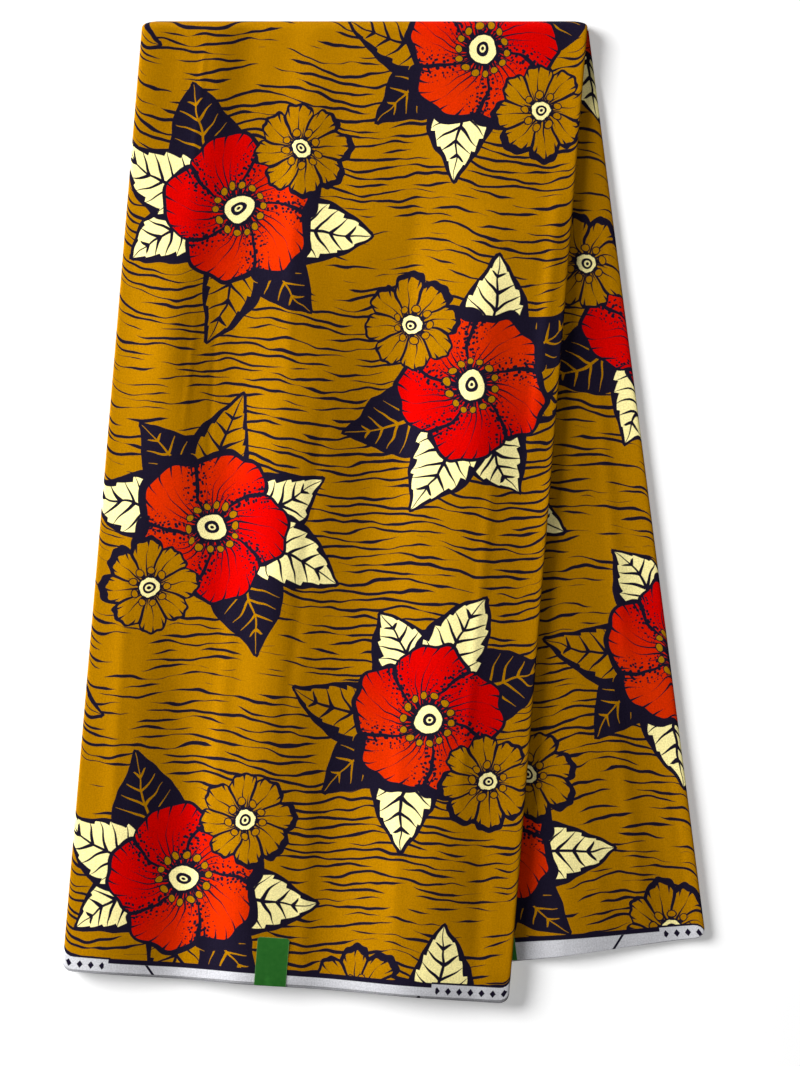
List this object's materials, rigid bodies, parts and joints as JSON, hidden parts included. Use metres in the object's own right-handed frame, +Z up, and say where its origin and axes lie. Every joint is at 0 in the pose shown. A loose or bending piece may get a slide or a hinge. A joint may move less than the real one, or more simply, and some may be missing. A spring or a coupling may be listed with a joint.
{
  "type": "folded wax print fabric",
  "caption": "Long strip of printed cotton cloth, folded in many layers and doubled over at the top, its tails fanned out as they lie flat, with paper labels over the hems.",
  "frame": {"origin": "middle of the outline seen from above, on the surface that the cloth lies on", "axes": "+X to the right across the strip, +Y up the cloth towards its top fold, +Z up from the surface"},
  "size_m": [0.3928, 0.6008, 0.0211],
  "materials": {
    "printed_cotton": "crisp plain weave cotton with a resist style print and a slight sheen",
    "cotton_edges": "matt folded and selvedge edges of many cotton layers",
    "label_paper": "smooth coated paper, green"
  },
  "bodies": {
    "root": {"outer_layer": "printed_cotton", "inner_layer": "printed_cotton", "folded_layers": "cotton_edges", "front_label": "label_paper", "back_label": "label_paper"}
  },
  "joints": []
}
